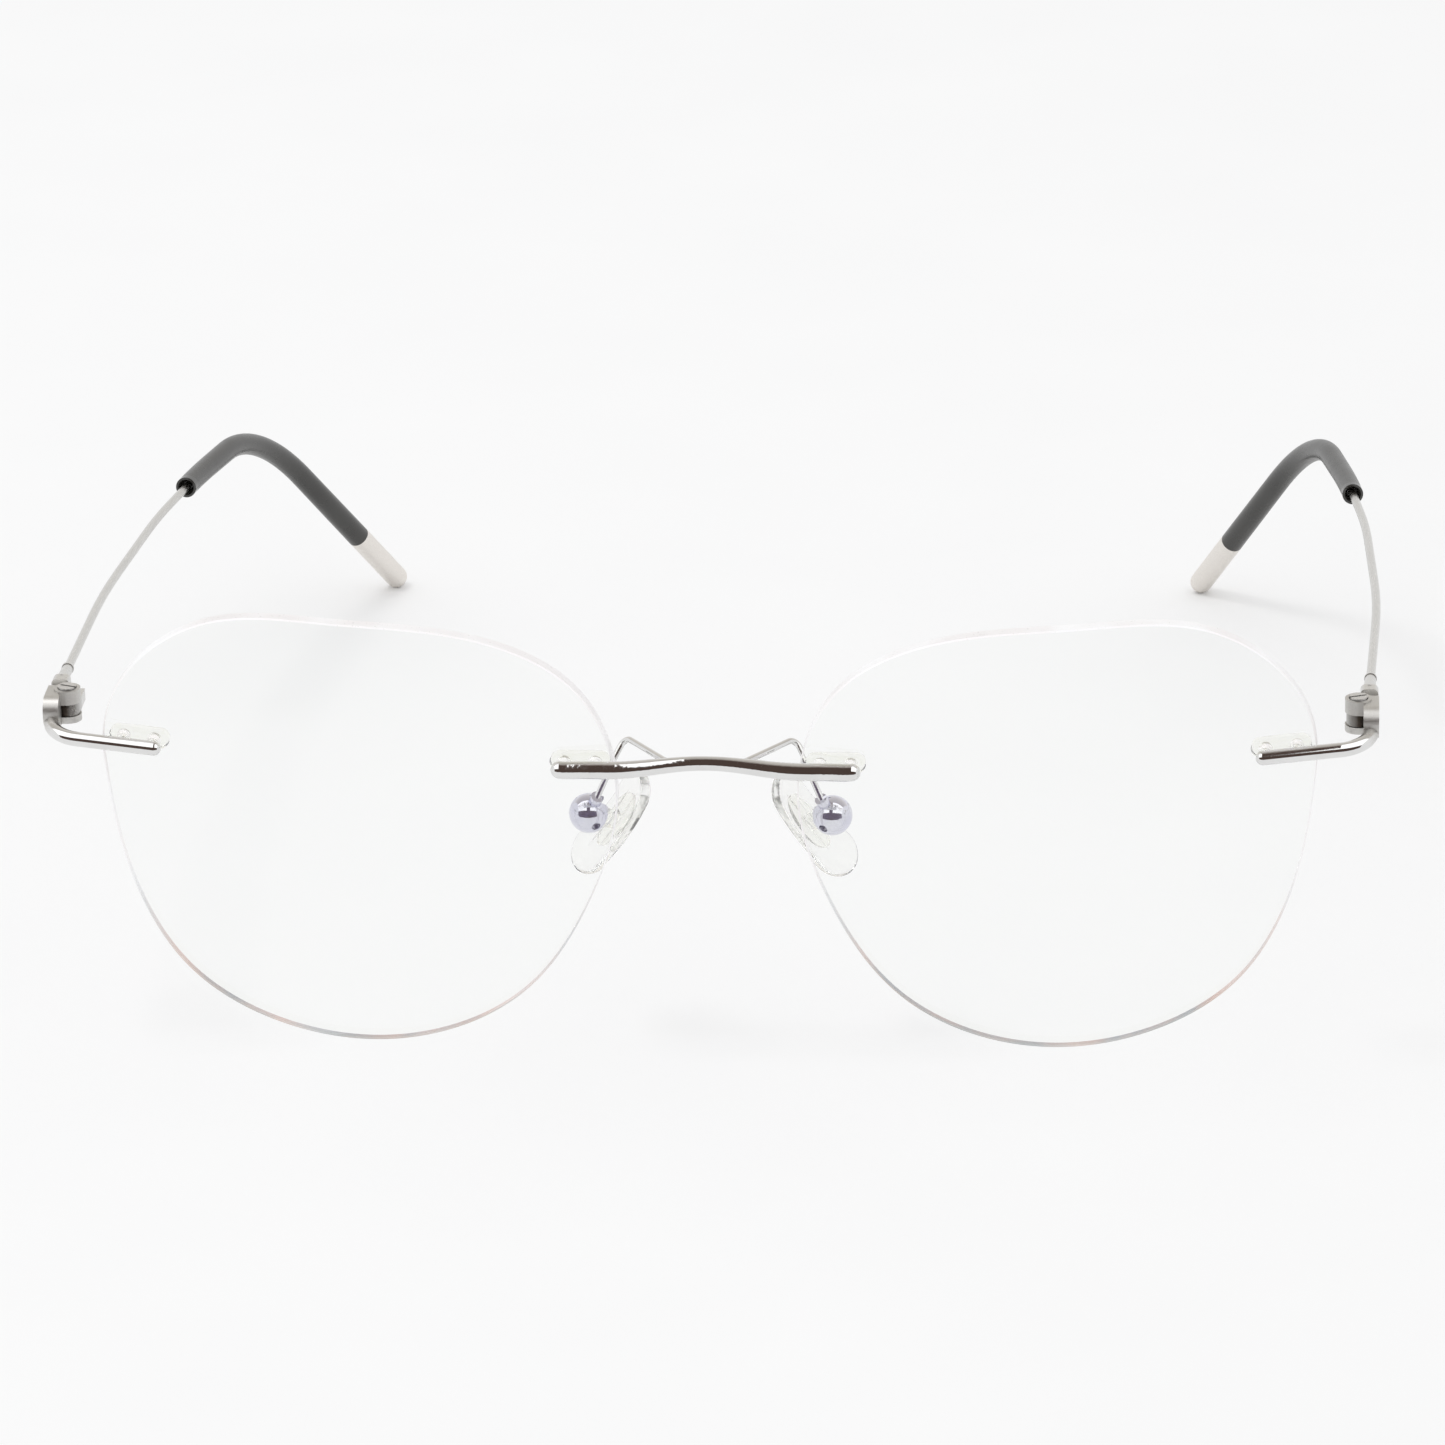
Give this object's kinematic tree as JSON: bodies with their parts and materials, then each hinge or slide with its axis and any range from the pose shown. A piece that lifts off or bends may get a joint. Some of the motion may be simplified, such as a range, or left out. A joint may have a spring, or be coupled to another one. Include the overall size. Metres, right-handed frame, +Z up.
{
  "type": "rimless eyeglasses",
  "caption": "Rimless eyeglasses with a chrome bridge bar, rocking silicone nose pads and folding wire temples in black tip sleeves.",
  "frame": {"origin": "bottom centre of the open glasses, on the table, midway between bridge and temple tips", "axes": "+X to the wearer's left, +Y back along the temples, +Z up; the lenses face -Y"},
  "size_m": [0.1352, 0.1312, 0.0462],
  "materials": {
    "bright_metal": "polished bright plating",
    "temple_metal": "bright drawn wire",
    "screw_metal": "turned bright steel",
    "lens": "clear, anti-reflection coated",
    "clear_plastic": "clear moulded plastic",
    "silicone": "clear soft silicone",
    "black_sleeve": "matt soft-touch black",
    "satin_cap": "satin silver"
  },
  "bodies": {
    "front": {"bridge_bar": "bright_metal", "bridge_pins_left": "screw_metal", "bridge_sleeve_left": "clear_plastic", "lens_left": "lens", "pad_arm_left": "bright_metal", "pad_box_left": "bright_metal", "pad_screw_left": "screw_metal", "endpiece_left": "bright_metal", "endpiece_pins_left": "screw_metal", "endpiece_sleeve_left": "clear_plastic", "hinge_screw_left": "screw_metal", "bridge_pins_right": "screw_metal", "bridge_sleeve_right": "clear_plastic", "lens_right": "lens", "pad_arm_right": "bright_metal", "pad_box_right": "bright_metal", "pad_screw_right": "screw_metal", "endpiece_right": "bright_metal", "endpiece_pins_right": "screw_metal", "endpiece_sleeve_right": "clear_plastic", "hinge_screw_right": "screw_metal"},
    "temple_left": {"temple_hinge_left": "bright_metal", "temple_wire_left": "temple_metal", "tip_sleeve_left": "black_sleeve", "tip_cap_left": "satin_cap"},
    "pad_left": {"nose_pad_left": "silicone", "pad_core_left": "clear_plastic"},
    "temple_right": {"temple_hinge_right": "bright_metal", "temple_wire_right": "temple_metal", "tip_sleeve_right": "black_sleeve", "tip_cap_right": "satin_cap"},
    "pad_right": {"nose_pad_right": "silicone", "pad_core_right": "clear_plastic"}
  },
  "joints": [
    {"name": "temple_fold_left", "type": "hinge", "parent": "front", "child": "temple_left", "pos_m": [0.0652, -0.05883, 0.03465], "axis": [0, 0, 1], "range_deg": [0, 82]},
    {"name": "pad_rock_left", "type": "hinge", "parent": "front", "child": "pad_left", "pos_m": [0.0124, -0.05914, 0.02385], "axis": [-0.4149, -0.8246, -0.3847], "range_deg": [-10, 10]},
    {"name": "temple_fold_right", "type": "hinge", "parent": "front", "child": "temple_right", "pos_m": [-0.0652, -0.05883, 0.03465], "axis": [0, 0, -1], "range_deg": [0, 78]},
    {"name": "pad_rock_right", "type": "hinge", "parent": "front", "child": "pad_right", "pos_m": [-0.0124, -0.05914, 0.02385], "axis": [0.4149, -0.8246, -0.3847], "range_deg": [-10, 10]}
  ]
}
